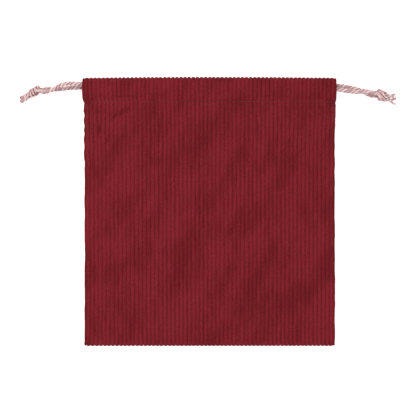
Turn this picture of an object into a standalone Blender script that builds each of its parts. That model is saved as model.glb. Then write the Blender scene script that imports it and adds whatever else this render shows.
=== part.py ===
"""A drawstring pouch in wide-wale corduroy, lying flat on its back panel with its mouth towards +Y.

The cloth is one sheet, folded at the bottom and sewn up the sides, with its two ends turned down as
casings at the mouth. Two twisted drawstrings run through both casings, one from each side. Each goes
out through the front casing and home through the back one, and its ends are tied in a knot beside
the pouch. Lengths are in metres, +Z is up, and the origin is under the middle of the pouch.
"""

import math

import bmesh
import bpy
from mathutils import Vector

# The pouch. A rise is a distance up the pouch from its bottom fold.
WIDTH = 0.200
HEIGHT = 0.215
CASING_WIDTH = 0.2024  # the turned-down casings are slightly wider than the sewn sides
PLY = 0.0010  # one ply of the cloth
SIDE_SEAM = 0.0030  # the rolled seam down each side
FOLD = 0.0020  # cloth in the bottom fold
STITCH_RISE = 0.1975  # the seam that closes the casings
HEM_RISE = 0.1945  # the raw edge inside, a little below that seam

# The room between the front and the back.
SEAM_GAP = 0.0015
BODY_GAPE = 0.0130
SLIT_GAP = 0.0004
MOUTH_GAPE = 0.0065
DOME_RISE = 0.0600  # how far up the belly reaches its full height
SHOULDER_RISE = 0.1650  # where it starts to rise to the casings
GAPE_POWER = 1.25

# The casings' tunnels, and the pockets at their ends where a drawstring turns back.
TUNNEL_HEIGHT = 0.0041
TUNNEL_LOW = 0.1990
TUNNEL_TOP = 0.2140
SWELL = 0.0040  # how fast a casing fills out above its seam
TURN_INSET = 0.0058  # the inner plies stop this far short of the casing's ends

# The drawstrings.
CORD = 0.0035
CORD_REST = CORD / 2 + 0.0001  # height of the centre line of cord lying on the ground
CORD_STEP = 0.0090  # longest distance between points of the tube
CORD_TURN = math.radians(16)  # most that it turns between two points
BIGHT_X = 0.0950  # where the far bight starts
BIGHT_OUT = 0.0033
KNOT_SIZE = Vector((0.0086, 0.0106, 0.0084))

COLUMNS = 18
CORDUROY = (0.181, 0.016, 0.023)
TWIST_PINK = (0.640, 0.448, 0.448)


def smoothstep(low, high, value):
    """0 below low, 1 above high, and an even ease between them."""
    share = min(1.0, max(0.0, (value - low) / (high - low)))
    return share * share * (3 - 2 * share)


def half_width(rise):
    """Half the cloth's width, which steps out at the casings."""
    return (CASING_WIDTH if rise > STITCH_RISE else WIDTH) / 2


def swell(rise):
    """How far a casing has filled out above its seam, from 0 to 1."""
    share = min(1.0, max(0.0, (rise - STITCH_RISE) / SWELL))
    return math.sqrt(1 - (1 - share) ** 2)


def round_over(rise):
    """How much of its height a casing keeps: all of it, and half at the fold."""
    share = min(1.0, max(0.0, (HEIGHT - rise) / SWELL))
    return 0.5 + 0.5 * math.sqrt(1 - (1 - share) ** 2)


def stack(rise):
    """Thickness of everything in one face of the pouch: one ply, and two with the tunnel at the mouth."""
    if rise < HEM_RISE:
        return PLY
    return 2 * PLY + TUNNEL_HEIGHT * swell(rise) * round_over(rise)


def crown(rise):
    """Thickness of the whole pouch at its middle."""
    dome = math.sin(math.pi / 2 * min(1.0, max(0.0, rise / DOME_RISE)))
    belly = 2 * PLY + SEAM_GAP + (BODY_GAPE - SEAM_GAP) * dome
    casings = 4 * PLY + 2 * TUNNEL_HEIGHT * round_over(rise) + MOUTH_GAPE
    return belly + (casings - belly) * smoothstep(SHOULDER_RISE, STITCH_RISE, rise)


def thickness(share, rise):
    """Thickness of the whole pouch. share runs from 0 at the middle to 1 at the side."""
    side = 2 * stack(rise) + (SEAM_GAP if rise < HEM_RISE else SLIT_GAP)
    return side + (crown(rise) - side) * (1 - min(1.0, abs(share)) ** 2) ** GAPE_POWER


def arch(x):
    """Room between the casings at x."""
    rise = (TUNNEL_LOW + TUNNEL_TOP) / 2
    return thickness(2 * x / CASING_WIDTH, rise) - 2 * stack(rise)


def back_lane(_x):
    """Height of a cord's centre line in the back casing."""
    return PLY + TUNNEL_HEIGHT / 2


def front_lane(x):
    """Height of a cord's centre line in the front casing."""
    return 3 * PLY + TUNNEL_HEIGHT * 1.5 + arch(x)


def new_object(name, bm):
    """Closes a bmesh into an object of that name in the scene."""
    bmesh.ops.recalc_face_normals(bm, faces=bm.faces[:])
    mesh = bpy.data.meshes.new(name)
    bm.to_mesh(mesh)
    bm.free()
    obj = bpy.data.objects.new(name, mesh)
    bpy.context.collection.objects.link(obj)
    return obj


def slab(name, columns, rises, low, high):
    """A closed block on a grid of columns and rises: low and high give its two sides' places."""
    bm = bmesh.new()
    bmesh.ops.create_grid(bm, x_segments=columns, y_segments=len(rises) - 1, size=0.5)
    seats = {v: (2 * v.co.x, rises[round((v.co.y + 0.5) * (len(rises) - 1))]) for v in bm.verts}
    for vert, (share, rise) in seats.items():
        vert.co = high(share, rise)
    lifted = bmesh.ops.extrude_face_region(bm, geom=bm.faces[:])["geom"]
    upper = {vert for vert in lifted if isinstance(vert, bmesh.types.BMVert)}
    for vert, (share, rise) in seats.items():
        if vert not in upper:
            vert.co = low(share, rise)
    return new_object(name, bm)


def at(half, share, rise, height):
    """A point on the cloth: share of the half width across, rise up the pouch."""
    return Vector((half * share, rise - HEIGHT / 2, height))


def spread(share):
    """Sets columns closer together towards the sides."""
    return math.sin(math.pi / 2 * share) * 0.6 + share * 0.4


def outer_form():
    """The pouch as a solid block, flat underneath."""
    rises = [0.0, 0.004, 0.012, 0.024, 0.038, 0.055, 0.085, 0.120, 0.150, 0.168, 0.180, 0.189]
    rises += [HEM_RISE - 0.0002, HEM_RISE]
    rises += [STITCH_RISE - 0.0012, STITCH_RISE, STITCH_RISE + 0.0001, STITCH_RISE + 0.0008]
    rises += [STITCH_RISE + 0.0022, STITCH_RISE + SWELL, HEIGHT - SWELL]
    rises += [HEIGHT - 0.0018, HEIGHT - 0.0005, HEIGHT]

    def low(share, rise):
        return at(half_width(rise), spread(share), rise, 0.0)

    def high(share, rise):
        across = spread(share)
        return at(half_width(rise), across, rise, thickness(across, rise))

    return slab("pouch_body", COLUMNS, rises, low, high)


def hollow():
    """The room inside, which runs out through the mouth and through a slit at each end of it."""
    rises = [FOLD, 0.008, 0.018, 0.032, 0.048, 0.075, 0.115, 0.148, 0.168, 0.180, 0.189]
    rises += [HEM_RISE - 0.0002]
    rises += [HEM_RISE + 0.0001, STITCH_RISE, STITCH_RISE + 0.0002]
    rises += [STITCH_RISE + 0.0010, STITCH_RISE + 0.0024, STITCH_RISE + SWELL, HEIGHT - SWELL]
    rises += [HEIGHT - 0.0018, HEIGHT - 0.0004, HEIGHT + 0.0030]

    def half(rise):
        return WIDTH / 2 - SIDE_SEAM if rise <= STITCH_RISE else CASING_WIDTH / 2 + 0.002

    def low(share, rise):
        return at(half(rise), spread(share), rise, stack(rise))

    def high(share, rise):
        across = spread(share) * half(rise) / half_width(rise)
        return at(half(rise), spread(share), rise, thickness(across, rise) - stack(rise))

    return slab("hollow_cutter", COLUMNS, rises, low, high)


def tunnel(name, lane):
    """A tunnel of round-ended section through a casing, along lane from side to side."""
    radius = TUNNEL_HEIGHT / 2
    reach = (TUNNEL_TOP - TUNNEL_LOW) / 2 - radius
    middle = (TUNNEL_TOP + TUNNEL_LOW) / 2 - HEIGHT / 2
    end = CASING_WIDTH / 2 + 0.003
    bm = bmesh.new()
    bmesh.ops.create_circle(bm, segments=16, radius=radius)
    for vert in bm.verts:
        side = math.copysign(reach, vert.co.x) if abs(vert.co.x) > 1e-6 else 0.0
        vert.co = Vector((-end, middle + vert.co.x + side, vert.co.y + lane(-end)))
    ring = bm.edges[:]
    x = -end
    for step in range(1, COLUMNS + 1):
        next_x = end * math.sin(math.pi / 2 * (2 * step / COLUMNS - 1))
        grown = bmesh.ops.extrude_edge_only(bm, edges=ring)["geom"]
        ring = [part for part in grown if isinstance(part, bmesh.types.BMEdge)]
        verts = [part for part in grown if isinstance(part, bmesh.types.BMVert)]
        move = Vector((next_x - x, 0, lane(next_x) - lane(x)))
        bmesh.ops.translate(bm, vec=move, verts=verts)
        x = next_x
    bmesh.ops.holes_fill(bm, edges=bm.edges[:], sides=0)
    return new_object(name, bm)


def end_pocket(name, side):
    """The room at the casings' end where both inner plies stop, so that a cord can turn back there."""
    inner = CASING_WIDTH / 2 - TURN_INSET
    outer = CASING_WIDTH / 2 + 0.004
    low, high = back_lane(0), front_lane(CASING_WIDTH / 2)
    bm = bmesh.new()
    bmesh.ops.create_cube(bm, size=1.0)
    margin = 0.0001
    bmesh.ops.scale(
        bm,
        vec=(outer - inner, TUNNEL_TOP - TUNNEL_LOW - 2 * margin, high - low),
        verts=bm.verts[:],
    )
    middle = (TUNNEL_TOP + TUNNEL_LOW) / 2 - HEIGHT / 2
    bmesh.ops.translate(
        bm, vec=(side * (inner + outer) / 2, middle, (low + high) / 2), verts=bm.verts[:]
    )
    return new_object(name, bm)


def cut(target, cutter):
    """Takes the cutter out of the target with a Boolean, and hides the cutter."""
    modifier = target.modifiers.new(cutter.name, "BOOLEAN")
    modifier.operation = "DIFFERENCE"
    modifier.solver = "MANIFOLD"  # the exact solver leaves a flap of an inner ply behind
    modifier.object = cutter
    cutter.hide_render = True
    cutter.display_type = "WIRE"


def dress(obj, name, colour, roughness):
    """Gives the object a material of its own."""
    material = bpy.data.materials.new(name)
    material.use_nodes = True
    shader = material.node_tree.nodes["Principled BSDF"]
    shader.inputs["Base Color"].default_value = (*colour, 1.0)
    shader.inputs["Roughness"].default_value = roughness
    shader.inputs["Metallic"].default_value = 0.0
    obj.data.materials.clear()
    obj.data.materials.append(material)


def make_pouch():
    """The folded and sewn cloth."""
    body = outer_form()
    cut(body, hollow())
    cut(body, end_pocket("left_pocket_cutter", -1))
    cut(body, end_pocket("right_pocket_cutter", 1))
    cut(body, tunnel("back_tunnel_cutter", back_lane))
    cut(body, tunnel("front_tunnel_cutter", front_lane))
    dress(body, "corduroy", CORDUROY, 0.85)
    return body


def through_curve(points, per_span=24):
    """Close points along a smooth curve through the route's points (centripetal Catmull-Rom)."""
    points = [2 * points[0] - points[1], *points, 2 * points[-1] - points[-2]]
    dense = []
    for a, b, c, d in zip(points, points[1:], points[2:], points[3:]):
        t1 = (b - a).length ** 0.5
        t2 = t1 + (c - b).length ** 0.5
        t3 = t2 + (d - c).length ** 0.5
        for step in range(per_span):
            t = t1 + (t2 - t1) * step / per_span
            ab = a.lerp(b, t / t1)
            bc = b.lerp(c, (t - t1) / (t2 - t1))
            cd = c.lerp(d, (t - t2) / (t3 - t2))
            dense.append(ab.lerp(bc, t / t2).lerp(bc.lerp(cd, (t - t1) / (t3 - t1)), (t - t1) / (t2 - t1)))
    return dense + [points[-2]]


def thinned(dense):
    """The curve's points that the tube needs: one each CORD_STEP, and more where it bends."""
    kept = [dense[0]]
    for index in range(1, len(dense) - 1):
        point = dense[index]
        far = (point - kept[-1]).length
        heading = dense[index + 1] - point
        turned = heading.angle(point - kept[-1]) * 2 if far > 1e-6 else 0.0
        if far > CORD_STEP or (turned > CORD_TURN and far > CORD / 4):
            kept.append(point)
    if (dense[-1] - kept[-1]).length < CORD / 4:
        kept.pop()
    return kept + [dense[-1]]


def knot(name, centre):
    """The outer shape of the knot that ties a drawstring's two ends together."""
    bm = bmesh.new()
    bmesh.ops.create_uvsphere(bm, u_segments=14, v_segments=9, radius=0.5)
    bmesh.ops.scale(bm, vec=KNOT_SIZE, verts=bm.verts[:])
    bmesh.ops.translate(bm, vec=centre, verts=bm.verts[:])
    obj = new_object(name, bm)
    obj.hide_render = True
    obj.display_type = "WIRE"
    return obj


def tube(name, route):
    """A round cord along the route, as a closed mesh."""
    points = thinned(through_curve([Vector(point) for point in route]))
    curve = bpy.data.curves.new(name, "CURVE")
    curve.dimensions = "3D"
    curve.bevel_depth = CORD / 2
    curve.bevel_resolution = 2
    curve.use_fill_caps = True
    spline = curve.splines.new("POLY")
    spline.points.add(len(points) - 1)
    for seat, point in zip(spline.points, points):
        seat.co = (*point, 1.0)
    guide = bpy.data.objects.new(name + "_guide", curve)
    bpy.context.collection.objects.link(guide)
    bpy.context.view_layer.update()
    graph = bpy.context.evaluated_depsgraph_get()
    bm = bmesh.new()
    bm.from_mesh(bpy.data.meshes.new_from_object(guide.evaluated_get(graph)))
    bpy.data.objects.remove(guide)
    bmesh.ops.remove_doubles(bm, verts=bm.verts[:], dist=1e-6)
    return new_object(name, bm)


def far_bight(side, near_y, far_y):
    """The turn at the far end of the casings, from the front tunnel down into the back one."""
    top, bottom = front_lane(BIGHT_X), back_lane(0)
    middle, radius = (top + bottom) / 2, (top - bottom) / 2
    turn = []
    for degrees in (60, 30, 0, -30, -60):
        angle = math.radians(degrees)
        out = BIGHT_X + BIGHT_OUT * math.cos(angle)
        share = (1 - math.sin(angle)) / 2
        y = near_y + (far_y - near_y) * share
        turn.append((side * out, y, middle + radius * math.sin(angle)))
    return turn


def in_casing(lane, stops):
    """Route points inside a casing, from (x, y) stops and the lane's height."""
    return [(x, y, lane(x)) for x, y in stops]


def left_route():
    """From the upper tail through the knot, out through the front casing and home through the back."""
    rest = CORD_REST
    out = [
        (-0.1522, 0.0918, rest), (-0.1485, 0.0937, 0.0034), (-0.1450, 0.0951, 0.0056),
        (-0.1411, 0.0957, 0.0066), (-0.1375, 0.0951, 0.0062), (-0.1351, 0.0949, 0.0057),
        (-0.1318, 0.0956, 0.0057), (-0.1281, 0.0967, 0.0059), (-0.1231, 0.0991, 0.0064),
        (-0.1190, 0.1017, 0.0070), (-0.1150, 0.1028, 0.0080), (-0.1080, 0.1026, 0.0090),
    ]
    front = [(-0.1012, 0.1020), (-0.0930, 0.1022), (-0.0750, 0.1024), (-0.0500, 0.1030)]
    front += [(-0.0200, 0.1034), (0.0150, 0.1037), (0.0500, 0.1042), (0.0800, 0.1043), (0.0950, 0.1042)]
    back = [(0.0950, 0.1042), (0.0800, 0.1043), (0.0500, 0.1041), (0.0150, 0.1035)]
    back += [(-0.0200, 0.1026), (-0.0500, 0.1018), (-0.0750, 0.1010), (-0.0930, 0.1003), (-0.1012, 0.1000)]
    home = [
        (-0.1070, 0.0996, 0.0026), (-0.1136, 0.0993, rest), (-0.1207, 0.0983, rest),
        (-0.1240, 0.0983, rest), (-0.1271, 0.0985, rest), (-0.1327, 0.0986, rest),
        (-0.1365, 0.0973, rest), (-0.1405, 0.0948, rest), (-0.1439, 0.0927, rest),
        (-0.1480, 0.0899, rest), (-0.1522, 0.0876, rest),
    ]
    casings = in_casing(front_lane, front) + far_bight(1, 0.1042, 0.1042) + in_casing(back_lane, back)
    return out + casings + home


def right_route():
    """From the upper tail through the knot, out through the front casing and home through the back."""
    rest = CORD_REST
    out = [
        (0.1496, 0.0886, rest), (0.1460, 0.0897, 0.0034), (0.1425, 0.0915, 0.0058),
        (0.1380, 0.0935, 0.0066), (0.1345, 0.0946, 0.0062), (0.1295, 0.0956, 0.0059),
        (0.1247, 0.0964, 0.0062), (0.1200, 0.0959, 0.0067), (0.1156, 0.0957, 0.0075),
        (0.1093, 0.0964, 0.0087),
    ]
    front = [(0.1016, 0.0976), (0.0930, 0.0980), (0.0750, 0.0980), (0.0500, 0.0979)]
    front += [(0.0200, 0.0978), (-0.0150, 0.0977), (-0.0500, 0.0975), (-0.0800, 0.0974), (-0.0950, 0.0974)]
    back = [(-0.0950, 0.0964), (-0.0800, 0.0964), (-0.0500, 0.0967), (-0.0150, 0.0972)]
    back += [(0.0200, 0.0981), (0.0500, 0.0988), (0.0750, 0.0995), (0.0930, 0.1002), (0.1016, 0.1009)]
    home = [
        (0.1074, 0.1006, 0.0026), (0.1133, 0.0996, rest), (0.1192, 0.0982, rest),
        (0.1231, 0.0964, rest), (0.1279, 0.0941, rest), (0.1327, 0.0928, rest),
        (0.1375, 0.0926, rest), (0.1410, 0.0930, rest), (0.1450, 0.0934, rest),
        (0.1496, 0.0936, rest),
    ]
    casings = in_casing(front_lane, front) + far_bight(-1, 0.0974, 0.0964) + in_casing(back_lane, back)
    return out + casings + home


def make_drawstring(name, route, knot_centre):
    """One drawstring: the cord and the knot in its two ends, joined as one body."""
    cord = tube(name, route)
    modifier = cord.modifiers.new("knot", "BOOLEAN")
    modifier.operation = "UNION"
    modifier.solver = "EXACT"
    modifier.object = knot(name + "_knot_form", knot_centre)
    cord.data.shade_smooth()
    dress(cord, name + "_twist", TWIST_PINK, 0.7)
    return cord


def main():
    """Clears the scene and makes the pouch and its two drawstrings."""
    for obj in list(bpy.data.objects):
        bpy.data.objects.remove(obj)
    make_pouch()
    make_drawstring("left_drawstring", left_route(), (-0.1411, 0.0961, 0.0044))
    make_drawstring("right_drawstring", right_route(), (0.1375, 0.0929, 0.0044))


main()
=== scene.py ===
"""Looks of a corduroy drawstring pouch: ribbed cloth, casing stitches and two knotted twisted cords."""

import logging
import math
from dataclasses import dataclass, field
from enum import Enum
from typing import Callable, Iterable, Sequence

import bmesh
import bpy
import numpy as np
from mathutils import Matrix, Vector, noise


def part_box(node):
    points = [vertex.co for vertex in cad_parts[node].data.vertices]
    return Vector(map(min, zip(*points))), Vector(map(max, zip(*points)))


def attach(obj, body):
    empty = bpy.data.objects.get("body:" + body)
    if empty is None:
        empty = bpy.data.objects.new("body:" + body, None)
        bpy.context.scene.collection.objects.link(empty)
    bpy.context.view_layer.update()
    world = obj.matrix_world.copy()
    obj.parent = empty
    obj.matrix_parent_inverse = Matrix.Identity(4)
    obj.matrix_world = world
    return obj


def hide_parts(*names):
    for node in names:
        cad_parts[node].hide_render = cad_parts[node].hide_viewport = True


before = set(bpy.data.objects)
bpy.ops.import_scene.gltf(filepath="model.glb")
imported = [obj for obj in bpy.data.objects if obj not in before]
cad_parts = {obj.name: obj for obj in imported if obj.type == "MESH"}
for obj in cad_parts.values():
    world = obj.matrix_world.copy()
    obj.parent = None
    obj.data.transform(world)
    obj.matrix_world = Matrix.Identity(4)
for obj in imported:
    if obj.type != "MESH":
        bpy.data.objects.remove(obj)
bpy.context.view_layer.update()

LOG = logging.getLogger("pouch")
MM = 0.001
CORD_STEP = 0.00075
CORD_REST = 0.00195

Colour = tuple[float, float, float]
Vector3 = tuple[float, float, float]
Pairs = tuple[tuple[float, float], ...]


def linear(red: int, green: int, blue: int) -> Colour:
    """Turns a screen colour into scene light.

    Args:
        red: Red, 0 to 255.
        green: Green, 0 to 255.
        blue: Blue, 0 to 255.

    Returns:
        The three parts as linear light, 0 to 1.
    """
    parts = [value / 255 for value in (red, green, blue)]
    return tuple(p / 12.92 if p <= 0.04045 else ((p + 0.055) / 1.055) ** 2.4 for p in parts)


def ease(low: float, high: float, value: np.ndarray | float) -> np.ndarray:
    """An even ease from 0 below low to 1 above high.

    Args:
        low: Where the ease starts.
        high: Where it ends.
        value: Where to read it.

    Returns:
        The eased share at each value.
    """
    share = np.clip((np.asarray(value, float) - low) / (high - low), 0.0, 1.0)
    return share * share * (3 - 2 * share)


class Side(Enum):
    """Which side of the pouch a drawstring leaves."""

    LEFT = -1
    RIGHT = 1


class Nodes:
    """A small helper that adds and links the nodes of one material."""

    def __init__(self, name: str) -> None:
        """Starts a material with its shader.

        Args:
            name: The material's name.
        """
        self.material = bpy.data.materials.new(name)
        self.material.use_nodes = True
        self.tree = self.material.node_tree
        self.shader = self.tree.nodes["Principled BSDF"]

    def add(self, kind: str, **settings: object) -> bpy.types.Node:
        """Adds a node.

        Args:
            kind: The node's type, without its ShaderNode start.
            settings: Values for the node's own properties.

        Returns:
            The new node.
        """
        node = self.tree.nodes.new("ShaderNode" + kind)
        for key, value in settings.items():
            setattr(node, key, value)
        return node

    def link(self, source: bpy.types.NodeSocket, target: bpy.types.NodeSocket) -> None:
        """Joins two sockets."""
        self.tree.links.new(source, target)

    def constants(self, values: dict[str, float | Sequence[float]]) -> None:
        """Sets the shader's own sockets, by name."""
        for name, value in values.items():
            self.shader.inputs[name].default_value = value

    def attribute(self, name: str) -> bpy.types.Node:
        """Adds a node that reads one of the piece's own attributes."""
        return self.add("Attribute", attribute_name=name)

    def maths(self, operation: str, *values: object) -> bpy.types.NodeSocket:
        """Adds a Math node.

        Args:
            operation: What it works out.
            values: A socket or a number for each of its inputs.

        Returns:
            Its result.
        """
        node = self.add("Math", operation=operation)
        for socket, value in zip(node.inputs, values):
            if isinstance(value, (int, float)):
                socket.default_value = value
            else:
                self.link(value, socket)
        return node.outputs[0]

    def texture(
        self, vector: bpy.types.NodeSocket, stretch: Sequence[float], detail: float, turn: float = 0.0
    ) -> bpy.types.NodeSocket:
        """Adds a noise pattern, stretched along the piece's own directions.

        Args:
            vector: Where the pattern is read, in metres.
            stretch: The pattern's count per metre in each direction.
            detail: How many finer layers it has.
            turn: How far it is turned round its third direction, in radians.

        Returns:
            The pattern's height, 0 to 1.
        """
        mapping = self.add("Mapping", vector_type="TEXTURE")
        mapping.inputs["Rotation"].default_value = (0.0, 0.0, turn)
        mapping.inputs["Scale"].default_value = [1 / count for count in stretch]
        self.link(vector, mapping.inputs["Vector"])
        pattern = self.add("TexNoise")
        pattern.inputs["Scale"].default_value = 1.0
        pattern.inputs["Detail"].default_value = detail
        self.link(mapping.outputs[0], pattern.inputs["Vector"])
        return pattern.outputs["Fac"]

    def ramp(
        self, factor: bpy.types.NodeSocket, stops: Iterable[tuple[float, Colour]]
    ) -> bpy.types.NodeSocket:
        """Adds a colour ramp.

        Args:
            factor: Where the ramp is read.
            stops: Places along the ramp, each with its colour.

        Returns:
            The ramp's colour.
        """
        node = self.add("ValToRGB")
        elements = node.color_ramp.elements
        for index, (place, colour) in enumerate(stops):
            element = elements[index] if index < 2 else elements.new(place)
            element.position = place
            element.color = (*colour, 1.0)
        self.link(factor, node.inputs["Fac"])
        return node.outputs["Color"]

    def multiply(
        self, first: bpy.types.NodeSocket, second: bpy.types.NodeSocket, share: float
    ) -> bpy.types.NodeSocket:
        """Multiplies one colour by another.

        Args:
            first: The colour that stays.
            second: The colour that tints it.
            share: How strongly it tints.

        Returns:
            The mixed colour.
        """
        node = self.add("Mix", data_type="RGBA", blend_type="MULTIPLY")
        node.inputs["Factor"].default_value = share
        self.link(first, node.inputs["A"])
        self.link(second, node.inputs["B"])
        return node.outputs["Result"]

    def bump(self, height: bpy.types.NodeSocket, distance: float, strength: float) -> None:
        """Bends the shader's normal by a height pattern.

        Args:
            height: The pattern.
            distance: Height of the pattern, in metres.
            strength: How much of it shows.
        """
        node = self.add("Bump")
        node.inputs["Distance"].default_value = distance
        node.inputs["Strength"].default_value = strength
        self.link(height, node.inputs["Height"])
        self.link(node.outputs["Normal"], self.shader.inputs["Normal"])


@dataclass(frozen=True)
class CorduroyFinish:
    """Brushed cotton corduroy: pile ribs with painted shade in their furrows, streaks of turned nap and a
    soft sheen.
    """

    # painted shade: the colour darkens from the crowns down to the furrows' floors
    shaded_furrow: Colour = linear(101, 17, 25)
    flank: Colour = linear(116, 24, 33)
    crown: Colour = linear(127, 31, 41)
    sheen: Colour = linear(226, 150, 150)
    rubbed: Colour = (0.70, 0.55, 0.57)
    raised: Colour = (1.0, 1.0, 1.0)
    sheen_weight: float = 0.22
    sheen_roughness: float = 0.45
    specular: float = 0.15
    roughness: float = 0.92
    pile: Vector3 = (2600, 1500, 1)
    pile_height: float = 0.25 * MM
    grain: Vector3 = (900, 560, 1)
    nap: Vector3 = (50, 22, 1)
    nap_turn: float = 0.42
    nap_share: float = 0.62
    streak: Vector3 = (460, 60, 1)

    def build(self) -> bpy.types.Material:
        """Makes the material.

        Returns:
            The corduroy material, which reads the cloth's own attributes and paints shade into the furrows
            from the rib heights.
        """
        nodes = Nodes("corduroy")
        cloth = nodes.attribute("cloth").outputs["Vector"]
        rib = nodes.attribute("rib").outputs["Fac"]
        pile = nodes.texture(cloth, self.pile, 2.0)
        grain = nodes.texture(cloth, self.grain, 2.0)
        # painted shade: low rib heights, in the furrows and at the pressed dents, take the darker colours;
        # the grain noise adds random tone
        grain_and_rib_shade = nodes.maths("MULTIPLY_ADD", nodes.maths("SUBTRACT", grain, 0.5), 2.2, rib)
        base = nodes.ramp(grain_and_rib_shade, [(0.0, self.shaded_furrow), (1.0, self.crown), (0.55, self.flank)])
        nap = nodes.texture(cloth, self.nap, 4.0, self.nap_turn)
        streak = nodes.texture(cloth, self.streak, 2.0)
        streaks = nodes.maths("MULTIPLY", streak, 1 - self.nap_share)
        shades = nodes.maths("ADD", nodes.maths("MULTIPLY", nap, self.nap_share), streaks)
        tint = nodes.ramp(shades, [(0.40, self.rubbed), (0.56, self.raised)])
        nodes.link(nodes.multiply(base, tint, 0.9), nodes.shader.inputs["Base Color"])
        nodes.constants({
            "Roughness": self.roughness,
            "Specular IOR Level": self.specular,
            "Sheen Weight": self.sheen_weight,
            "Sheen Roughness": self.sheen_roughness,
            "Sheen Tint": (*self.sheen, 1.0),
        })
        nodes.bump(pile, self.pile_height, 0.8)
        return nodes.material


@dataclass(frozen=True)
class TwistFinish:
    """Soft twisted cord: dusty pink yarn with pale and dark strands."""

    dark: Colour = linear(156, 98, 102)
    middle: Colour = linear(216, 174, 176)
    pale: Colour = linear(250, 236, 233)
    # painted shade: groove is the colour given where the lit share is low, in the grooves between plies, the
    # knot's creases and the lower sides
    groove: Colour = linear(142, 66, 70)
    yarns: float = 5.0
    lay: float = 1500.0
    fluff: float = 1100.0
    yarn_height: float = 0.12 * MM
    specular: float = 0.15
    roughness: float = 0.75

    def build(self) -> bpy.types.Material:
        """Makes the material.

        Returns:
            The cord material, which reads how far round and along each ply a point is, and its lit share,
            which paints shade in the grooves between plies and on the cord's lower sides.
        """
        nodes = Nodes("drawstring_twist")
        split = nodes.add("SeparateXYZ")
        nodes.link(nodes.attribute("ply").outputs["Vector"], split.inputs[0])
        around = nodes.maths("ARCTAN2", split.outputs[1], split.outputs[0])
        phase = nodes.maths("MULTIPLY", around, self.yarns)
        phase = nodes.maths("MULTIPLY_ADD", split.outputs[2], self.lay, phase)
        wave = nodes.maths("MULTIPLY_ADD", nodes.maths("SINE", phase), 0.5, 0.5)
        tone = nodes.attribute("tone").outputs["Fac"]
        place = nodes.add("TexCoord").outputs["Object"]
        fluff = nodes.texture(place, [self.fluff] * 3, 2.0)
        mixed = nodes.maths("MULTIPLY_ADD", wave, 0.50, nodes.maths("MULTIPLY", tone, 0.28))
        mixed = nodes.maths("MULTIPLY_ADD", fluff, 0.26, mixed)
        colour = nodes.ramp(mixed, [(0.16, self.dark), (0.86, self.pale), (0.48, self.middle)])
        # painted shade: a low lit share darkens the yarn colour toward groove
        outer = nodes.attribute("outer").outputs["Fac"]
        shadow = nodes.ramp(outer, [(0.66, self.groove), (0.90, (1.0, 1.0, 1.0))])
        nodes.link(nodes.multiply(colour, shadow, 1.0), nodes.shader.inputs["Base Color"])
        nodes.constants({"Roughness": self.roughness, "Specular IOR Level": self.specular})
        nodes.bump(nodes.maths("MULTIPLY_ADD", fluff, 0.5, wave), self.yarn_height, 0.7)
        return nodes.material


@dataclass(frozen=True)
class ThreadFinish:
    """Sewing thread in the cloth's own colour."""

    colour: Colour = linear(118, 28, 36)
    shade: Colour = linear(92, 18, 26)
    grain: float = 2400.0
    roughness: float = 0.6

    def build(self) -> bpy.types.Material:
        """Makes the material.

        Returns:
            The thread material.
        """
        nodes = Nodes("sewing_thread")
        place = nodes.add("TexCoord").outputs["Object"]
        grain = nodes.texture(place, [self.grain] * 3, 1.0)
        colour = nodes.ramp(grain, [(0.3, self.shade), (0.7, self.colour)])
        nodes.link(colour, nodes.shader.inputs["Base Color"])
        nodes.constants({"Roughness": self.roughness})
        return nodes.material


@dataclass(frozen=True)
class FloorFinish:
    """A plain white studio floor."""

    colour: Colour = (0.96, 0.96, 0.96)
    glow: float = 0.55

    def build(self) -> bpy.types.Material:
        """Makes the material."""
        nodes = Nodes("white_floor")
        nodes.constants({
            "Base Color": (*self.colour, 1.0),
            "Roughness": 0.9,
            "Specular IOR Level": 0.0,
            "Emission Color": (1.0, 1.0, 1.0, 1.0),
            "Emission Strength": self.glow,
        })
        return nodes.material


def new_piece(name: str, bm: bmesh.types.BMesh, material: bpy.types.Material) -> bpy.types.Object:
    """Turns a bmesh into a smooth, dressed object at the origin.

    Args:
        name: The piece's name.
        bm: Its shape, which is freed.
        material: Its finish.

    Returns:
        The new object.
    """
    mesh = bpy.data.meshes.new(name)
    bm.to_mesh(mesh)
    bm.free()
    mesh.shade_smooth()
    mesh.materials.append(material)
    obj = bpy.data.objects.new(name, mesh)
    bpy.context.scene.collection.objects.link(obj)
    return obj


def fasten(piece: bpy.types.Object) -> None:
    """Rides a piece on the part's one body."""
    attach(piece, "root")


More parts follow.
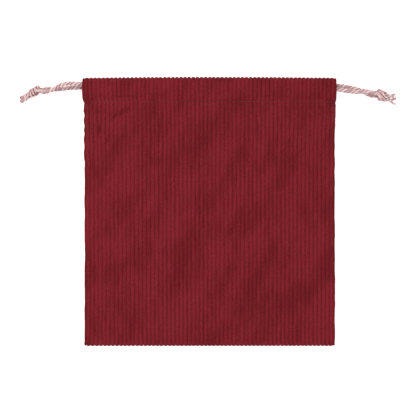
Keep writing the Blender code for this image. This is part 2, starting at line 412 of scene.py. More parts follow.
@dataclass(frozen=True)
class PouchShape:
    """The pouch's sizes in metres, and the surface that its cloth follows.

    A rise is a distance up the pouch from its bottom fold, and across is one from its middle.
    """

    box: tuple = field(default_factory=lambda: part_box("pouch_body"))
    width: float = 0.2018
    ply: float = 0.0010
    seam_gap: float = 0.0015
    slit_gap: float = 0.0008
    belly: float = 0.0100
    mouth_gape: float = 0.0065
    tunnel: float = 0.0043
    stitch_rise: float = 0.1945
    hem_rise: float = 0.1915
    swell_length: float = 0.0062
    round_length: float = 0.0040
    seam_lift: float = 0.0042
    dome_rise: float = 0.070
    shoulder_rise: float = 0.140
    groove: float = 0.0004
    top_corner: float = 0.0040
    bottom_corner: float = 0.0012
    step_out: float = 0.0003
    bulge: tuple[float, float] = (0.0007, 0.0001)
    nip: float = 0.0006
    nip_length: float = 0.0011

    @property
    def height(self) -> float:
        """The pouch's height, from its CAD box."""
        return float(self.box[1][1] - self.box[0][1])

    @property
    def bottom(self) -> float:
        """The bottom fold's place along Y."""
        return float(self.box[0][1])

    def swell(self, rise: np.ndarray) -> np.ndarray:
        """How far a casing has filled out above its seam, 0 to 1."""
        return ease(self.stitch_rise, self.stitch_rise + self.swell_length, rise)

    def round_over(self, rise: np.ndarray) -> np.ndarray:
        """How much of its height a casing keeps near its fold, 1 to a half."""
        share = np.clip((self.height - rise) / self.round_length, 0, 1)
        return 0.5 + 0.5 * np.sqrt(1 - (1 - share) ** 2)

    def stack(self, rise: np.ndarray) -> np.ndarray:
        """Thickness of one face: a ply in the body, two with the tunnel at the mouth."""
        casing = 2 * self.ply + self.tunnel * self.swell(rise) * self.round_over(rise)
        return np.where(rise < self.hem_rise, self.ply, casing)

    def thickness(self, across: np.ndarray, rise: np.ndarray) -> np.ndarray:
        """Thickness of the whole pouch.

        Args:
            across: Distance from the middle line.
            rise: Distance up from the bottom fold.

        Returns:
            The height of the front's outer surface over the ground.
        """
        dome = np.sin(np.pi / 2 * np.clip(rise / self.dome_rise, 0, 1))
        belly = 2 * self.ply + self.seam_gap + (self.belly - self.seam_gap) * dome
        casings = 4 * self.ply + 2 * self.tunnel * self.round_over(rise) + self.mouth_gape
        up = ease(self.shoulder_rise, self.stitch_rise, rise)
        crown = belly + (casings - belly) * up
        side = 2 * self.stack(rise) + np.where(rise < self.hem_rise, self.seam_gap, self.slit_gap)
        share = np.clip(np.abs(across) / (self.width / 2), 0, 1)
        power = 1.25 - 0.75 * up * (1 - ease(self.stitch_rise, self.stitch_rise + 0.004, rise))
        return side + (crown - side) * (1 - share**2) ** power

    def seam_height(self, across: np.ndarray, rise: np.ndarray) -> np.ndarray:
        """How far the casing seams lie off the ground near the sides, since the casings hang below them.

        Args:
            across: Distance from the middle line.
            rise: Distance up from the bottom fold.

        Returns:
            A height that every layer is raised by.
        """
        up = ease(self.stitch_rise - 0.032, self.stitch_rise, rise)
        down = 1 - ease(self.stitch_rise, self.stitch_rise + self.swell_length, rise)
        return self.seam_lift * up * down * ease(0.060, 0.100, np.abs(across))

    def half_width(self, rise: float, side: Side) -> float:
        """Half the cloth's width: wider at the casings, and nipped in at the slits' ends.

        Args:
            rise: Distance up from the bottom fold.
            side: Which half.

        Returns:
            The distance from the middle line to the cloth's edge.
        """
        above = np.clip((rise - self.stitch_rise) / (self.height - self.stitch_rise), 0, 1)
        bulge = self.bulge[0] if side is Side.LEFT else self.bulge[1]
        half = self.width / 2 + self.step_out * float(above > 0)
        half += bulge * math.sin(math.pi * above) ** 0.45
        half -= self.nip * math.exp(-(((rise - self.stitch_rise) / self.nip_length) ** 2))
        for corner, distance in ((self.top_corner, self.height - rise), (self.bottom_corner, rise)):
            share = np.clip(1 - distance / corner, 0, 1)
            half -= corner * (1 - math.sqrt(1 - share**2))
        return float(half)


@dataclass(frozen=True)
class Fold:
    """A short soft fold pressed into the front, in metres.

    It lies at a distance across and up the pouch, turned by its slope in radians.
    """

    across: float
    rise: float
    slope: float
    length: float
    width: float
    depth: float


@dataclass
class PouchCloth:
    """The folded strip of corduroy, as one closed shell with its ribs as real relief."""

    shape: PouchShape
    finish: CorduroyFinish
    ribs: int = 61
    rib_pitch: float = 0.003252
    relief: float = 0.00042
    thick: float = 0.0007
    dent_shade: float = 900.0
    rib_profile: Pairs = ((0.0, 0.0), (0.25, 0.86), (0.5, 1.0), (0.75, 0.86))
    rolled: Pairs = (
        (0.0004, 0.7), (0.0008, 0.9), (0.0012, 0.8), (0.0016, 0.45), (0.0022, 0.2), (0.0040, 0.1),
        (0.0070, 0.1),
    )
    roll: float = 0.00115
    flat: tuple[float, float] = (0.218, 0.474)
    folds: tuple[Fold, ...] = (
        Fold(-0.0755, 0.1835, 1.0, 0.0034, 0.0015, 0.0012),
        Fold(-0.0700, 0.1862, 1.0, 0.0034, 0.0015, 0.0012),
        Fold(-0.0654, 0.1880, 0.9, 0.0030, 0.0014, 0.0009),
        Fold(-0.0880, 0.1730, 1.4, 0.0060, 0.0017, 0.0012),
        Fold(-0.0820, 0.1640, 1.2, 0.0050, 0.0016, 0.0007),
        Fold(-0.0905, 0.1868, 0.0, 0.0090, 0.0014, 0.0008),
        Fold(0.0880, 0.1890, -0.5, 0.0050, 0.0015, 0.0005),
    )

    def columns(self) -> tuple[np.ndarray, np.ndarray]:
        """Where the cloth's columns lie, and how high the pile stands on each.

        Returns:
            The distance of each from the middle along the cloth, and its rib height, 0 to 1.
        """
        edge = self.ribs * self.rib_pitch / 2
        places = [
            (-edge + (rib + at) * self.rib_pitch, high)
            for rib in range(self.ribs)
            for at, high in self.rib_profile
        ]
        places.append((edge, 0.0))
        right = [(edge + out, high) for out, high in self.rolled]
        left = [(-place, high) for place, high in reversed(right)]
        everything = left + places + right
        return np.array([p for p, _ in everything]), np.array([h for _, h in everything])

    def stations(self) -> tuple[np.ndarray, np.ndarray, np.ndarray, np.ndarray]:
        """The rows of the cloth, from the front hem's raw edge over both folds to the back hem's.

        Returns:
            For each row its rise, its layer (0 front hem, 1 front, 2 back, 3 back hem), its share of
            the way round a fold, and its distance along the cloth.
        """
        top = self.shape.height - 0.0030
        low = 0.0018
        turn = (0.15, 0.32, 0.5, 0.68, 0.85)
        seam = self.shape.stitch_rise
        steps = (4.2, 2.6, 1.5, 0.8, 0.3, 0.0, -0.3, -0.8, -1.5, -2.6, -4.2, -6.5)
        near = [seam + step * MM for step in steps]
        upper = [top, top - 0.0018, top - 0.0045, top - 0.0075, top - 0.0100, *near]
        chest = np.arange(seam - 0.0078, seam - 0.0400, -0.0013)
        face = [*upper, *chest, *np.arange(chest[-1] - 0.0027, low + 0.003, -0.0027), 0.0040, low]
        back = [low, 0.0045, *np.arange(0.0100, seam - 0.0080, 0.0080), *upper[::-1]]
        hem = [self.shape.hem_rise + 0.0004, seam - 0.0008, seam, seam + 0.0010, seam + 0.0024, seam + 0.0045]
        hem += [seam + 0.0080, seam + 0.0115, top - 0.0008]
        rows: list[tuple[float, float, float]] = [(rise, 0, 0) for rise in hem]
        rows += [(top, 0, share) for share in turn]
        rows += [(rise, 1, 0) for rise in face]
        rows += [(low, 1, share) for share in turn]
        rows += [(rise, 2, 0) for rise in back]
        rows += [(top, 2, share) for share in turn]
        rows += [(rise, 3, 0) for rise in reversed(hem)]
        rise, layer, share = (np.array(part) for part in zip(*rows))
        fold = np.where(share > 0, 0.0009, np.abs(np.diff(rise, prepend=rise[0])))
        return rise, layer, share, np.cumsum(fold)

    def layer_height(self, layer: int, across: np.ndarray, rise: np.ndarray) -> np.ndarray:
        """Height of the middle of one layer of the cloth.

        Args:
            layer: 0 front hem, 1 front, 2 back, 3 back hem.
            across: Distance from the middle line.
            rise: Distance up from the bottom fold.

        Returns:
            The height over the ground.
        """
        half = self.shape.ply / 2
        stack = self.shape.stack(rise)
        lift = self.shape.seam_height(across, rise)
        if layer == 2:
            return lift + half + 0.0003
        if layer == 3:
            return lift + stack - half
        front = lift + self.shape.thickness(across, rise) - half
        dip = self.shape.groove * np.exp(-(((rise - self.shape.stitch_rise) / 0.0013) ** 2))
        front = front - dip * (1 - 0.6 * np.clip(np.abs(across) / 0.1, 0, 1) ** 6)
        return front if layer == 1 else front + dip - (stack - 2 * half)

    def middle_surface(self) -> tuple[np.ndarray, np.ndarray]:
        """The cloth's middle surface before its ribs.

        Returns:
            Its points as rows by columns by xyz, and each point's cloth coordinates.
        """
        place, _ = self.columns()
        rise, layer, share, along = self.stations()
        edge = self.ribs * self.rib_pitch / 2
        beyond = np.maximum(np.abs(place) - edge, 0)
        angle = np.clip(beyond / self.roll, 0, math.pi / 2)
        tucked = np.maximum(beyond - self.roll * math.pi / 2, 0)
        plain = np.minimum(np.abs(place), edge) + self.roll * np.sin(angle) - tucked
        sink = self.roll * (1 - np.cos(angle)) + 0.0002 * (tucked > 0)
        points = np.zeros((len(rise), len(place), 3))
        for row, (level, kind, turn) in enumerate(zip(rise, layer, share)):
            reach = level + (0.0013 if level > 0.1 else -0.0015) * math.sin(math.pi * turn)
            left, right = (self.shape.half_width(reach, side) for side in (Side.LEFT, Side.RIGHT))
            across = plain * np.where(place < 0, -left, right) / (self.shape.width / 2)
            height = self.layer_height(int(kind), across, np.array(level))
            if turn > 0:
                after = self.layer_height(min(int(kind) + 1, 3), across, np.array(level))
                height = (height + after) / 2 + (height - after) / 2 * math.cos(math.pi * turn)
            points[row, :, 0] = across
            points[row, :, 1] = self.shape.bottom + reach
            points[row, :, 2] = height
        beside = int(np.argmax(beyond == 0)) + 2
        inward = self.normals(points)[:, beside, :] * np.array([0.0, 1.0, 1.0])
        points -= inward[:, None, :] * sink[None, :, None]
        cloth = np.zeros_like(points)
        cloth[:, :, 0] = place[None, :]
        cloth[:, :, 1] = along[:, None]
        return points, cloth

    @staticmethod
    def normals(points: np.ndarray) -> np.ndarray:
        """Unit normals on the cloth's right side.

        Args:
            points: The surface, as rows by columns by xyz.

        Returns:
            A normal for each point.
        """
        down = np.gradient(points, axis=0)
        right = np.gradient(points, axis=1)
        cross = np.cross(down, right)
        return cross / np.maximum(np.linalg.norm(cross, axis=2, keepdims=True), 1e-12)

    def by_rib(self, points: np.ndarray, fineness: tuple[float, float], seed: float) -> np.ndarray:
        """A soft random value for each rib at each row.

        Args:
            points: The surface, as rows by columns by xyz.
            fineness: How fast it changes across and up the pouch, per metre.
            seed: Which pattern.

        Returns:
            A value from -1 to 1 for each point, the same across a rib.
        """
        _, high = self.columns()
        rib = np.cumsum(high == 0)
        _, first = np.unique(rib, return_index=True)
        rows = points[:, first, :2] * np.array(fineness)
        return np.array([[noise.noise(Vector((x, y, seed))) for x, y in row] for row in rows])[:, rib]

    def creases(self, points: np.ndarray) -> np.ndarray:
        """How far the cloth lies off its even surface, from slow waves and handling.

        Args:
            points: The surface, as rows by columns by xyz.

        Returns:
            An offset in metres for each point.
        """
        waves = 0.0008 * self.by_rib(points, (22, 17), 1.5) + 0.0003 * self.by_rib(points, (60, 42), 7.5)
        kernel = np.ones(11) / 11
        padded = np.pad(waves, ((0, 0), (5, 5)), "edge")
        return np.array([np.convolve(line, kernel, "valid") for line in padded])

    def sideways(self, points: np.ndarray) -> np.ndarray:
        """How far the ribs wander sideways, most near the upper left and along the left edge.

        Args:
            points: The surface, as rows by columns by xyz.

        Returns:
            An offset along X for each point.
        """
        x, y = points[:, :, 0], points[:, :, 1] - self.shape.bottom
        upper_left = ease(0.02, -0.08, x) * ease(0.11, 0.17, y)
        wander = self.by_rib(points, (18, 38), 3.1) * (0.00025 + 0.0006 * upper_left)
        wander += self.by_rib(points, (310, 120), 5.2) * 0.00028
        ripple = self.by_rib(points * np.array([0.0, 1.0, 1.0]), (0, 210), 9.4)
        ripple = ripple * ease(0.205, 0.190, y) * ease(0.086, 0.099, np.abs(x))
        return wander + ripple * np.where(x < 0, 0.0002 + 0.0009 * ease(0.13, 0.16, y), 0.0002)

    def dents(self, points: np.ndarray) -> np.ndarray:
        """The folds from handling: most lie below the casing on the left, and one on the right.

        Args:
            points: The surface, as rows by columns by xyz.

        Returns:
            How far the cloth is pressed in at each point.
        """
        x, y = points[:, :, 0], points[:, :, 1] - self.shape.bottom
        depth = np.zeros(points.shape[:2])
        for fold in self.folds:
            right, up = x - fold.across, y - fold.rise
            along = right * math.cos(fold.slope) + up * math.sin(fold.slope)
            beside = up * math.cos(fold.slope) - right * math.sin(fold.slope)
            depth += fold.depth * np.exp(-((along / fold.length) ** 2) - (beside / fold.width) ** 2)
        return depth

    def build(self) -> bpy.types.Object:
        """Makes the cloth.

        Returns:
            The pouch piece.
        """
        middle, cloth = self.middle_surface()
        _, layer, share, _ = self.stations()
        _, high = self.columns()
        shape = self.shape
        loose = np.where(layer == 1, 1.0, 0.0)[:, None] * ease(0.100, 0.085, np.abs(middle[:, :, 0]))
        level = middle[:, :, 1] - shape.bottom
        loose = loose * ease(0.004, 0.03, level) * (0.45 + 0.55 * ease(0.205, 0.185, level))
        dents = self.dents(middle) * loose
        middle[:, :, 2] += self.creases(middle) * loose - dents
        middle[:, :, 0] += self.sideways(middle)
        normals = self.normals(middle)
        seam = 1 - 0.45 * np.exp(-(((level - shape.stitch_rise) / 0.0012) ** 2))
        height = np.where((layer == 0) | (layer == 3), 0.25, np.where(layer == 2, 0.7, 1.0))
        height = np.where((share > 0), 2.3, height)[:, None] * seam
        uneven = 0.5 * self.by_rib(middle, (310, 85), 2.7) + 0.35 * self.by_rib(middle, (310, 260), 6.1)
        lift = self.relief * high[None, :] * height * (1 + uneven * (share == 0)[:, None])
        face = middle + normals * (lift + 0.0001)[:, :, None]
        wrong = middle - normals * (self.thick / 2)
        face[:, :, 2] = np.maximum(face[:, :, 2], 0.00002)
        # painted shade: the rib heights that set the colour are lowered at the dents, so the dents take the
        # shaded furrow colour
        return self.shell(face, wrong, cloth, np.clip(high[None, :] - dents * self.dent_shade, 0, 1))

    def shell(
        self, face: np.ndarray, wrong: np.ndarray, cloth: np.ndarray, high: np.ndarray
    ) -> bpy.types.Object:
        """Closes the cloth's two sides into one shell.

        Args:
            face: The right side's points, as rows by columns by xyz.
            wrong: The wrong side's points.
            cloth: Each point's cloth coordinates.
            high: Each point's rib height, 0 to 1, lowered at the pressed dents as painted shade.

        Returns:
            The pouch piece.
        """
        rows, cols = face.shape[:2]
        bm = bmesh.new()
        bmesh.ops.create_grid(bm, x_segments=cols - 1, y_segments=rows - 1, size=0.5)
        bm.verts.ensure_lookup_table()
        last = (rows - 1, cols - 1)
        seats = [(round((0.5 - v.co.y) * last[0]), round((v.co.x + 0.5) * last[1])) for v in bm.verts]
        rib = bm.verts.layers.float.new("rib")
        place = bm.verts.layers.float_vector.new("cloth")
        originals = bm.verts[:]
        for vert, (row, col) in zip(originals, seats):
            vert.co = face[row, col]
            vert[rib] = high[row, col]
            vert[place] = cloth[row, col]
        count = len(originals)
        bmesh.ops.extrude_face_region(bm, geom=bm.faces[:])
        bm.verts.ensure_lookup_table()
        for vert, (row, col) in zip(bm.verts[:count], seats):
            vert.co = wrong[row, col]
            vert[rib] = 0.35
        bmesh.ops.recalc_face_normals(bm, faces=bm.faces[:])
        return new_piece("pouch", bm, self.finish.build())


@dataclass
class CasingStitches:
    """The row of stitches that closes a casing, on the front and on the back."""

    cloth: PouchCloth
    finish: ThreadFinish
    thread: float = 0.00042
    length: float = 0.0024
    pitch: float = 0.0031

    def build(self, name: str, front: bool) -> bpy.types.Object:
        """Makes one row.

        Args:
            name: The piece's name.
            front: Whether it is the front casing's row.

        Returns:
            The stitches as one piece.
        """
        bm = bmesh.new()
        shape = self.cloth.shape
        rise = np.array(shape.stitch_rise)
        count = int((shape.width - 0.005) / self.pitch)
        for index in range(count):
            x = (index - (count - 1) / 2) * self.pitch
            height = float(self.cloth.layer_height(1 if front else 2, np.array(x), rise))
            over = 0.00040 if front else -0.0005
            fresh = bmesh.ops.create_uvsphere(bm, u_segments=8, v_segments=7, radius=0.5)["verts"]
            bmesh.ops.rotate(bm, cent=(0, 0, 0), matrix=Matrix.Rotation(math.pi / 2, 3, "Y"), verts=fresh)
            bmesh.ops.scale(bm, vec=(self.length, self.thread, self.thread), verts=fresh)
            move = (x, shape.bottom + float(rise) + 0.00005 * math.sin(index * 2.4), height + over)
            bmesh.ops.translate(bm, vec=move, verts=fresh)
        return new_piece(name, bm, self.finish.build())


@dataclass
class CordPath:
    """A smooth line through given points, read at even steps."""

    points: list[Vector]
    step: float = CORD_STEP
    parts: int = 12

    def dense(self) -> list[Vector]:
        """Reads the line.

        Returns:
            Points along a centripetal curve through the given ones, one each step.
        """
        knots = [2 * self.points[0] - self.points[1], *self.points, 2 * self.points[-1] - self.points[-2]]
        line: list[Vector] = []
        for a, b, c, d in zip(knots, knots[1:], knots[2:], knots[3:]):
            t1 = (b - a).length ** 0.5
            t2 = t1 + (c - b).length ** 0.5
            t3 = t2 + (d - c).length ** 0.5
            for part in range(self.parts):
                t = t1 + (t2 - t1) * part / self.parts
                share = (t - t1) / (t2 - t1)
                ab, bc, cd = a.lerp(b, t / t1), b.lerp(c, share), c.lerp(d, (t - t2) / (t3 - t2))
                line.append(ab.lerp(bc, t / t2).lerp(bc.lerp(cd, (t - t1) / (t3 - t1)), share))
        line.append(self.points[-1].copy())
        return self.even(line)

    def even(self, line: list[Vector]) -> list[Vector]:
        """Spaces a line's points evenly.

        Args:
            line: Close points along the line.

        Returns:
            Points one step apart, ends kept.
        """
        spots = np.array([point[:] for point in line])
        run = np.concatenate([[0], np.cumsum(np.linalg.norm(np.diff(spots, axis=0), axis=1))])
        count = max(2, int(round(run[-1] / self.step)) + 1)
        wanted = np.linspace(0, run[-1], count)
        return [Vector(spot) for spot in zip(*(np.interp(wanted, run, part) for part in spots.T))]


@dataclass
class TwistedCord:
    """A three-ply twisted cord along a line, as three closed ply tubes."""

    material: bpy.types.Material
    diameter: float = 0.0035
    pitch: float = 0.0102
    sides: int = 10
    plies: int = 3
    ply_reach: float = 0.54
    ply_size: float = 0.52
    step: float = CORD_STEP
    splay_length: float = 0.0062
    tight_length: float = 0.0260

    def frames(self, line: list[Vector]) -> list[tuple[Vector, Vector, Vector]]:
        """Carries a frame along a line without twisting it.

        Args:
            line: The line's points.

        Returns:
            The heading, side and lift at each point.
        """
        found = []
        side = None
        for index, point in enumerate(line):
            ahead = line[min(index + 1, len(line) - 1)] - line[max(index - 1, 0)]
            ahead.normalize()
            if side is None:
                side = Vector((0, 0, 1)).cross(ahead).normalized()
            side = (side - ahead * side.dot(ahead)).normalized()
            found.append((ahead, side, ahead.cross(side)))
        return found

    def apart(self, count: int, undone: bool) -> np.ndarray:
        """How far the plies have come apart along a line.

        Args:
            count: The number of points in the line.
            undone: Whether they have at all.

        Returns:
            For each point, 0 where they are twisted together to 1 at an undone end.
        """
        left = (count - 1 - np.arange(count)) * self.step
        return undone * ease(self.splay_length, 0.001, left)

    def girths(self, count: int, free: bool, undone: bool) -> np.ndarray:
        """How full the cord is along its line: thinner from its knot on, and fuller where it comes undone.

        Args:
            count: The number of points in the line.
            free: Whether the line ends in a knot and a cut end.
            undone: Whether the plies of the cut end have come apart.

        Returns:
            A share of the cord's diameter for each point.
        """
        left = (count - 1 - np.arange(count)) * self.step
        tight = 0.12 * free * ease(self.tight_length + 0.006, self.tight_length, left)
        return 1 - tight + 0.06 * self.apart(count, undone)

    def ply_line(
        self, line: list[Vector], turn: float, girths: np.ndarray, splay: Vector | None
    ) -> list[Vector]:
        """The middle line of one ply.

        Args:
            line: The cord's line.
            turn: The ply's place round the cord, in radians.
            girths: How full the cord is at each point.
            splay: Where the ply's loose end goes, beside the cord's own, or nothing.

        Returns:
            The ply's points.
        """
        loose = self.apart(len(line), splay is not None)
        found = []
        for index, (point, (_, side, lift)) in enumerate(zip(line, self.frames(line))):
            angle = turn - 2 * math.pi * index * self.step / self.pitch
            around = side * math.cos(angle) + lift * math.sin(angle)
            reach = self.ply_reach * girths[index] * (1 - 0.9 * loose[index])
            where = point + around * self.diameter / 2 * reach
            if splay is not None:
                where = where + splay * loose[index]
                where.z = max(where.z, self.diameter * 0.27)
            found.append(where)
        return found

    def build(
        self, name: str, line: list[Vector], free: bool, splays: Sequence[Vector] = ()
    ) -> bpy.types.Object:
        """Makes the cord.

        Args:
            name: The piece's name.
            line: The line that it follows, with points one step apart.
            free: Whether the line ends in a knot and a cut end.
            splays: Where each ply's loose end goes, if the cord's end has come undone.

        Returns:
            The cord as one piece.
        """
        bm = bmesh.new()
        girths = self.girths(len(line), free, bool(splays))
        for ply in range(self.plies):
            splay = splays[ply] if splays else None
            points = self.ply_line(line, 2 * math.pi * ply / self.plies, girths, splay)
            shares = self.apart(len(line), bool(splays))
            hearts = [a.lerp(b, share) for a, b, share in zip(line, points, shares)]
            self.sweep(bm, points, hearts, girths, 0.2 + 0.4 * ply)
        bmesh.ops.recalc_face_normals(bm, faces=bm.faces[:])
        return new_piece(name, bm, self.material)

    def sweep(
        self,
        bm: bmesh.types.BMesh,
        points: list[Vector],
        hearts: list[Vector],
        girths: np.ndarray,
        tone: float,
    ) -> None:
        """Extrudes a ring along a ply's line, caps its ends, and stores each point's lit share, which paints
        shade in the grooves between the plies and on the sides that face down.

        Args:
            bm: The bmesh that takes the tube.
            points: The ply's line.
            hearts: The middle of the twist at each point, which is the ply's own once it has come apart.
            girths: How full the cord is at each point.
            tone: How pale the ply's yarn is, 0 to 1.
        """
        layers = bm.verts.layers
        around = layers.float_vector.get("ply") or layers.float_vector.new("ply")
        shade, outer = (layers.float.get(name) or layers.float.new(name) for name in ("tone", "outer"))
        radius = self.diameter / 2
        ring = bmesh.ops.create_circle(bm, segments=self.sides, radius=radius)["verts"]
        edges = list(dict.fromkeys(edge for vert in ring for edge in vert.link_edges))
        first = edges
        angles = {vert: math.atan2(vert.co.y, vert.co.x) for vert in ring}
        for index, (point, (_, side, lift)) in enumerate(zip(points, self.frames(points))):
            if index:
                grown = bmesh.ops.extrude_edge_only(bm, edges=edges)["geom"]
                edges = [part for part in grown if isinstance(part, bmesh.types.BMEdge)]
                fresh = [part for part in grown if isinstance(part, bmesh.types.BMVert)]
                angles = {vert: math.atan2(vert[around].y, vert[around].x) for vert in fresh}
            full = radius * girths[index]
            alone = 1 - (point - hearts[index]).length / (full * self.ply_reach)
            for vert, angle in angles.items():
                vert.co = point + (side * math.cos(angle) + lift * math.sin(angle)) * full * self.ply_size
                vert[around] = (math.cos(angle), math.sin(angle), index * self.step)
                vert[shade] = tone
                # painted shade: the lit share is low near the twist's middle, in the grooves between the
                # plies, and on the sides and underside that face away from the lights above
                out = vert.co - hearts[index]
                top_light = float(0.84 + 0.16 * ease(-0.2, 0.8, out.normalized().z))
                vert[outer] = (out.length / full + 0.5 * alone) * top_light
        bmesh.ops.holes_fill(bm, edges=first + edges, sides=0)


@dataclass
class Knot:
    """Two cords wound round each other and drawn tight."""

    start: Vector
    end: Vector
    lean: float
    radius: float = 0.0031
    turns: float = 1.25
    steps: int = 10

    def wrap(self, phase: float) -> list[Vector]:
        """The route of one cord through the knot.

        Args:
            phase: Where it comes in, as an angle up from the side, in radians.

        Returns:
            Its points, from the knot's near end to its far one.
        """
        axis = self.end - self.start
        ahead = axis.normalized()
        side = Vector((0, 0, 1)).cross(ahead).normalized()
        lift = ahead.cross(side)
        if ahead.x < 0:
            side = -side
        twist = 1 if ahead.x > 0 else -1
        points = []
        count = int(self.steps * self.turns)
        for index in range(count + 1):
            share = index / count
            angle = phase + twist * 2 * math.pi * self.turns * share
            spread = self.radius * (0.86 + 0.2 * math.sin(math.pi * share))
            around = side * math.cos(angle) + lift * math.sin(angle)
            around.x += self.lean * around.y
            points.append(self.start + axis * share + around * spread)
        return points

    def openness(self, place: Vector) -> float:
        """How far out on the knot a place lies.

        Args:
            place: A point on a cord.

        Returns:
            0 in the creases between the wraps, 1 on their backs and away from the knot.
        """
        axis = self.end - self.start
        share = (place - self.start).dot(axis) / axis.length_squared
        if not -0.25 < share < 1.25:
            return 1.0
        away = (place - self.start - axis * share).length
        return float(ease(self.radius * 1.08, self.radius * 1.36, away))


def vectors(points: Iterable[Sequence[float]]) -> list[Vector]:
    """Turns points into vectors."""
    return [Vector(point) for point in points]


@dataclass
class Drawstring:
    """One drawstring: two free ends that meet in a knot, and the run through the casings."""

    side: Side
    front_run: list[Vector]
    back_run: list[Vector]
    knot: Knot
    tails: tuple[list[Vector], list[Vector]]
    inside: list[Vector]
    cord: TwistedCord
    splays: tuple[Sequence[Vector], Sequence[Vector]] = ((), ())

    @property
    def label(self) -> str:
        """The drawstring's name, which is its CAD node's."""
        return f"{self.side.name.lower()}_drawstring"

    def free_end(self, run: list[Vector], phase: float, tail: list[Vector]) -> list[Vector]:
        """The line of one free end, from inside the casing to its tail.

        Args:
            run: Points from the casing to the knot.
            phase: Where it comes into the knot.
            tail: Points from the knot to its cut end.

        Returns:
            The line's points, one step apart.
        """
        return CordPath(run + self.knot.wrap(phase) + tail).dense()

    def build(self) -> list[bpy.types.Object]:
        """Makes the drawstring's three pieces: its run through the casings and its two free ends.

        Returns:
            The pieces.
        """
        hidden = self.cord.build(f"{self.label}_casing_run", CordPath(self.inside).dense(), False)
        fasten(hidden)
        pieces = [hidden]
        ends = (("front", self.front_run, math.pi / 2, 0), ("back", self.back_run, -math.pi / 2, 1))
        for word, run, phase, tail in ends:
            line = self.free_end(run, phase, self.tails[tail])
            piece = self.cord.build(f"{self.label}_{word}_end", line, True, self.splays[tail])
            self.shade_knot(piece)
            fasten(piece)
            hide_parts(self.label)
            pieces.append(piece)
        return pieces

    def shade_knot(self, piece: bpy.types.Object) -> None:
        """Paints shade into the creases between the knot's wraps by lowering their lit share.

        Args:
            piece: One free end.
        """
        lit_shares = piece.data.attributes["outer"].data
        for vert, depth in zip(piece.data.vertices, lit_shares):
            # painted shade: the lit share drops by up to 9 % in the knot's creases
            depth.value *= 0.91 + 0.09 * self.knot.openness(vert.co)


@dataclass
class Casings:
    """The lanes that the drawstrings follow inside the casings."""

    tunnel: float = 0.0041
    ply: float = 0.0010
    gape: float = 0.0065
    slit: float = 0.0004
    half: float = 0.1012
    bight: float = 0.0930
    out: float = 0.0033

    def back(self, _x: float) -> float:
        """Height of a cord in the back casing."""
        return self.ply + self.tunnel / 2

    def front(self, x: float) -> float:
        """Height of a cord in the front casing, which arches over the mouth."""
        arch = self.slit + (self.gape - self.slit) * max(0.0, 1 - (x / self.half) ** 2) ** 1.25
        return 3 * self.ply + 1.5 * self.tunnel + arch

    def lay(self, lane: Callable[[float], float], stops: Sequence[tuple[float, float]]) -> list[Vector]:
        """Sets points along a lane.

        Args:
            lane: The lane's height at a distance across.
            stops: The points' x and y.

        Returns:
            The points.
        """
        return [Vector((x, y, lane(x))) for x, y in stops]

    def turn(self, side: int, y: float) -> list[Vector]:
        """The far turn from the front casing into the back one.

        Args:
            side: -1 for the left end of the casings, 1 for the right.
            y: The cord's place along Y.

        Returns:
            The turn's points.
        """
        top, bottom = self.front(self.bight), self.back(0)
        middle, radius = (top + bottom) / 2, (top - bottom) / 2
        found = []
        for degrees in (60, 30, 0, -30, -60):
            angle = math.radians(degrees)
            reach = self.bight + self.out * math.cos(angle)
            found.append(Vector((side * reach, y, middle + radius * math.sin(angle))))
        return found


def left_drawstring(casings: Casings, cord: TwistedCord) -> Drawstring:
    """The drawstring that leaves on the left.

    Args:
        casings: The lanes inside the casings.
        cord: The cord to make it from.

    Returns:
        The drawstring, ready to build.
    """
    front = [(-0.0930, 0.1022), (-0.1012, 0.1020)]
    back = [(-0.0930, 0.1003), (-0.1012, 0.1000)]
    over = vectors([
        (-0.1080, 0.1022, 0.0090), (-0.1150, 0.1022, 0.0080), (-0.1190, 0.1012, 0.0070),
        (-0.1231, 0.0991, 0.0064), (-0.1281, 0.0967, 0.0062), (-0.1325, 0.0957, 0.0066),
    ])
    under = vectors([
        (-0.1070, 0.0996, 0.0026), (-0.1136, 0.0993, CORD_REST), (-0.1207, 0.0983, CORD_REST),
        (-0.1240, 0.0983, CORD_REST), (-0.1271, 0.0985, CORD_REST), (-0.1322, 0.0984, 0.0019),
    ])
    stops = [(0.0930, 0.1032), (0.0800, 0.1033), (0.0500, 0.1031), (0.0150, 0.1029)]
    inside = casings.lay(casings.front, [(-0.0930, 0.1022), (-0.0500, 0.1026), *stops[::-1]])
    inside += casings.turn(1, 0.1032)
    inside += casings.lay(casings.back, [*stops, (-0.0500, 0.1018), (-0.0930, 0.1003)])
    return Drawstring(
        side=Side.LEFT,
        front_run=casings.lay(casings.front, front) + over,
        back_run=casings.lay(casings.back, back) + under,
        knot=Knot(Vector((-0.1378, 0.0972, 0.0049)), Vector((-0.1432, 0.0950, 0.0049)), 0.80),
        tails=(
            vectors([(-0.1462, 0.0940, 0.0034), (-0.1490, 0.0926, CORD_REST), (-0.1523, 0.0912, CORD_REST)]),
            vectors([(-0.1461, 0.0917, 0.0028), (-0.1488, 0.0900, CORD_REST), (-0.1521, 0.0881, CORD_REST)]),
        ),
        inside=inside,
        cord=cord,
    )


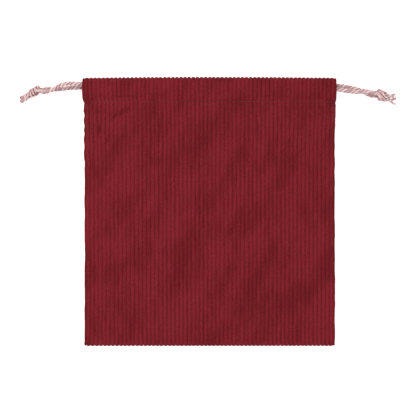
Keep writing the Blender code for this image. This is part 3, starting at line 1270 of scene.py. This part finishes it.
def right_drawstring(casings: Casings, cord: TwistedCord) -> Drawstring:
    """The drawstring that leaves on the right, whose cut ends have come undone.

    Args:
        casings: The lanes inside the casings.
        cord: The cord to make it from.

    Returns:
        The drawstring, ready to build.
    """
    front = [(0.0930, 0.0980), (0.1016, 0.0976)]
    back = [(0.0930, 0.0996), (0.1016, 0.1007)]
    over = vectors([
        (0.1093, 0.0964, 0.0087), (0.1156, 0.0957, 0.0075), (0.1200, 0.0959, 0.0067),
        (0.1247, 0.0964, 0.0064), (0.1295, 0.0953, 0.0070),
    ])
    under = vectors([
        (0.1074, 0.1006, 0.0026), (0.1133, 0.0996, CORD_REST), (0.1192, 0.0982, CORD_REST),
        (0.1231, 0.0964, CORD_REST), (0.1279, 0.0941, CORD_REST), (0.1305, 0.0932, 0.0019),
    ])
    stops = [(-0.0930, 0.0964), (-0.0800, 0.0966), (-0.0500, 0.0968), (-0.0150, 0.0971)]
    inside = casings.lay(casings.front, [(0.0930, 0.0980), (0.0500, 0.0979), *stops[::-1]])
    inside += casings.turn(-1, 0.0964)
    inside += casings.lay(casings.back, [*stops, (0.0500, 0.0984), (0.0930, 0.0996)])
    lower_fan = vectors([(0.0, 0.0018, -0.0009), (0.0, -0.0019, -0.0009), (-0.0014, -0.0014, -0.0009)])
    upper_fan = vectors([(-0.0004, 0.0013, -0.0009), (-0.0016, 0.0009, -0.0009), (0.0004, -0.0011, -0.0009)])
    return Drawstring(
        side=Side.RIGHT,
        front_run=casings.lay(casings.front, front) + over,
        back_run=casings.lay(casings.back, back) + under,
        knot=Knot(Vector((0.1350, 0.0938, 0.0053)), Vector((0.1393, 0.0926, 0.0053)), -0.35, 0.0035),
        tails=(
            vectors([(0.1432, 0.0899, 0.0032), (0.1460, 0.0892, CORD_REST), (0.1497, 0.0884, CORD_REST)]),
            vectors([(0.1430, 0.0931, 0.0032), (0.1460, 0.0929, CORD_REST), (0.1497, 0.0930, CORD_REST)]),
        ),
        inside=inside,
        cord=cord,
        splays=(lower_fan, upper_fan),
    )


@dataclass
class Studio:
    """The floor, the soft lights and the camera straight overhead."""

    view_width: float = 0.3315
    centre: tuple[float, float] = (-0.0014, 0.0029)
    lens: float = 100.0
    sensor: float = 36.0
    daylight: float = 0.55

    def camera(self) -> None:
        """Sets the camera overhead, with the mouth at the top."""
        data = bpy.data.cameras.new("overhead")
        data.lens = self.lens
        data.sensor_width = self.sensor
        camera = bpy.data.objects.new("overhead", data)
        camera.location = (*self.centre, self.view_width * self.lens / self.sensor + 0.010)
        bpy.context.scene.collection.objects.link(camera)
        bpy.context.scene.camera = camera

    def light(self, name: str, place: Sequence[float], size: float, power: float) -> None:
        """Adds a soft square light that faces the pouch.

        Args:
            name: The light's name.
            place: Where it stands.
            size: The length of its side.
            power: Its power in watts.
        """
        data = bpy.data.lights.new(name, "AREA")
        data.size = size
        data.energy = power
        lamp = bpy.data.objects.new(name, data)
        lamp.location = place
        lamp.rotation_euler = (-Vector(place)).to_track_quat("-Z", "Y").to_euler()
        bpy.context.scene.collection.objects.link(lamp)

    def floor(self) -> None:
        """Lays the floor."""
        bm = bmesh.new()
        bmesh.ops.create_grid(bm, x_segments=1, y_segments=1, size=3.0)
        bmesh.ops.translate(bm, vec=(0, 0, -0.0001), verts=bm.verts[:])
        new_piece("floor", bm, FloorFinish().build())

    def build(self) -> None:
        """Sets up the studio."""
        self.camera()
        self.floor()
        self.light("key_light", (-0.75, 0.75, 1.1), 0.9, 12.0)
        self.light("fill_light", (0.6, -0.5, 1.4), 1.6, 9.0)
        world = bpy.data.worlds.new("studio")
        world.use_nodes = True
        around = world.node_tree.nodes["Background"].inputs
        around["Color"].default_value = (1.0, 1.0, 1.0, 1.0)
        around["Strength"].default_value = self.daylight
        bpy.context.scene.world = world
        bpy.context.scene.view_settings.view_transform = "Standard"


def main() -> None:
    """Builds the studio, the cords, the pouch and its stitches, and rides each piece on the part's one body.
    """
    logging.basicConfig(level=logging.INFO, format="%(name)s: %(message)s")
    Studio().build()
    cord = TwistedCord(TwistFinish().build())
    casings = Casings()
    for drawstring in (left_drawstring(casings, cord), right_drawstring(casings, cord)):
        LOG.info("%s: %d pieces", drawstring.label, len(drawstring.build()))
    cloth = PouchCloth(PouchShape(), CorduroyFinish())
    pouch = cloth.build()
    fasten(pouch)
    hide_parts("pouch_body")
    stitches = CasingStitches(cloth, ThreadFinish())
    rows = (("front_casing_stitches", True), ("back_casing_stitches", False))
    seams = [stitches.build(name, front) for name, front in rows]
    for seam in seams:
        fasten(seam)
    LOG.info("pouch: %d faces", len(pouch.data.polygons))


if __name__ == "__main__":
    main()
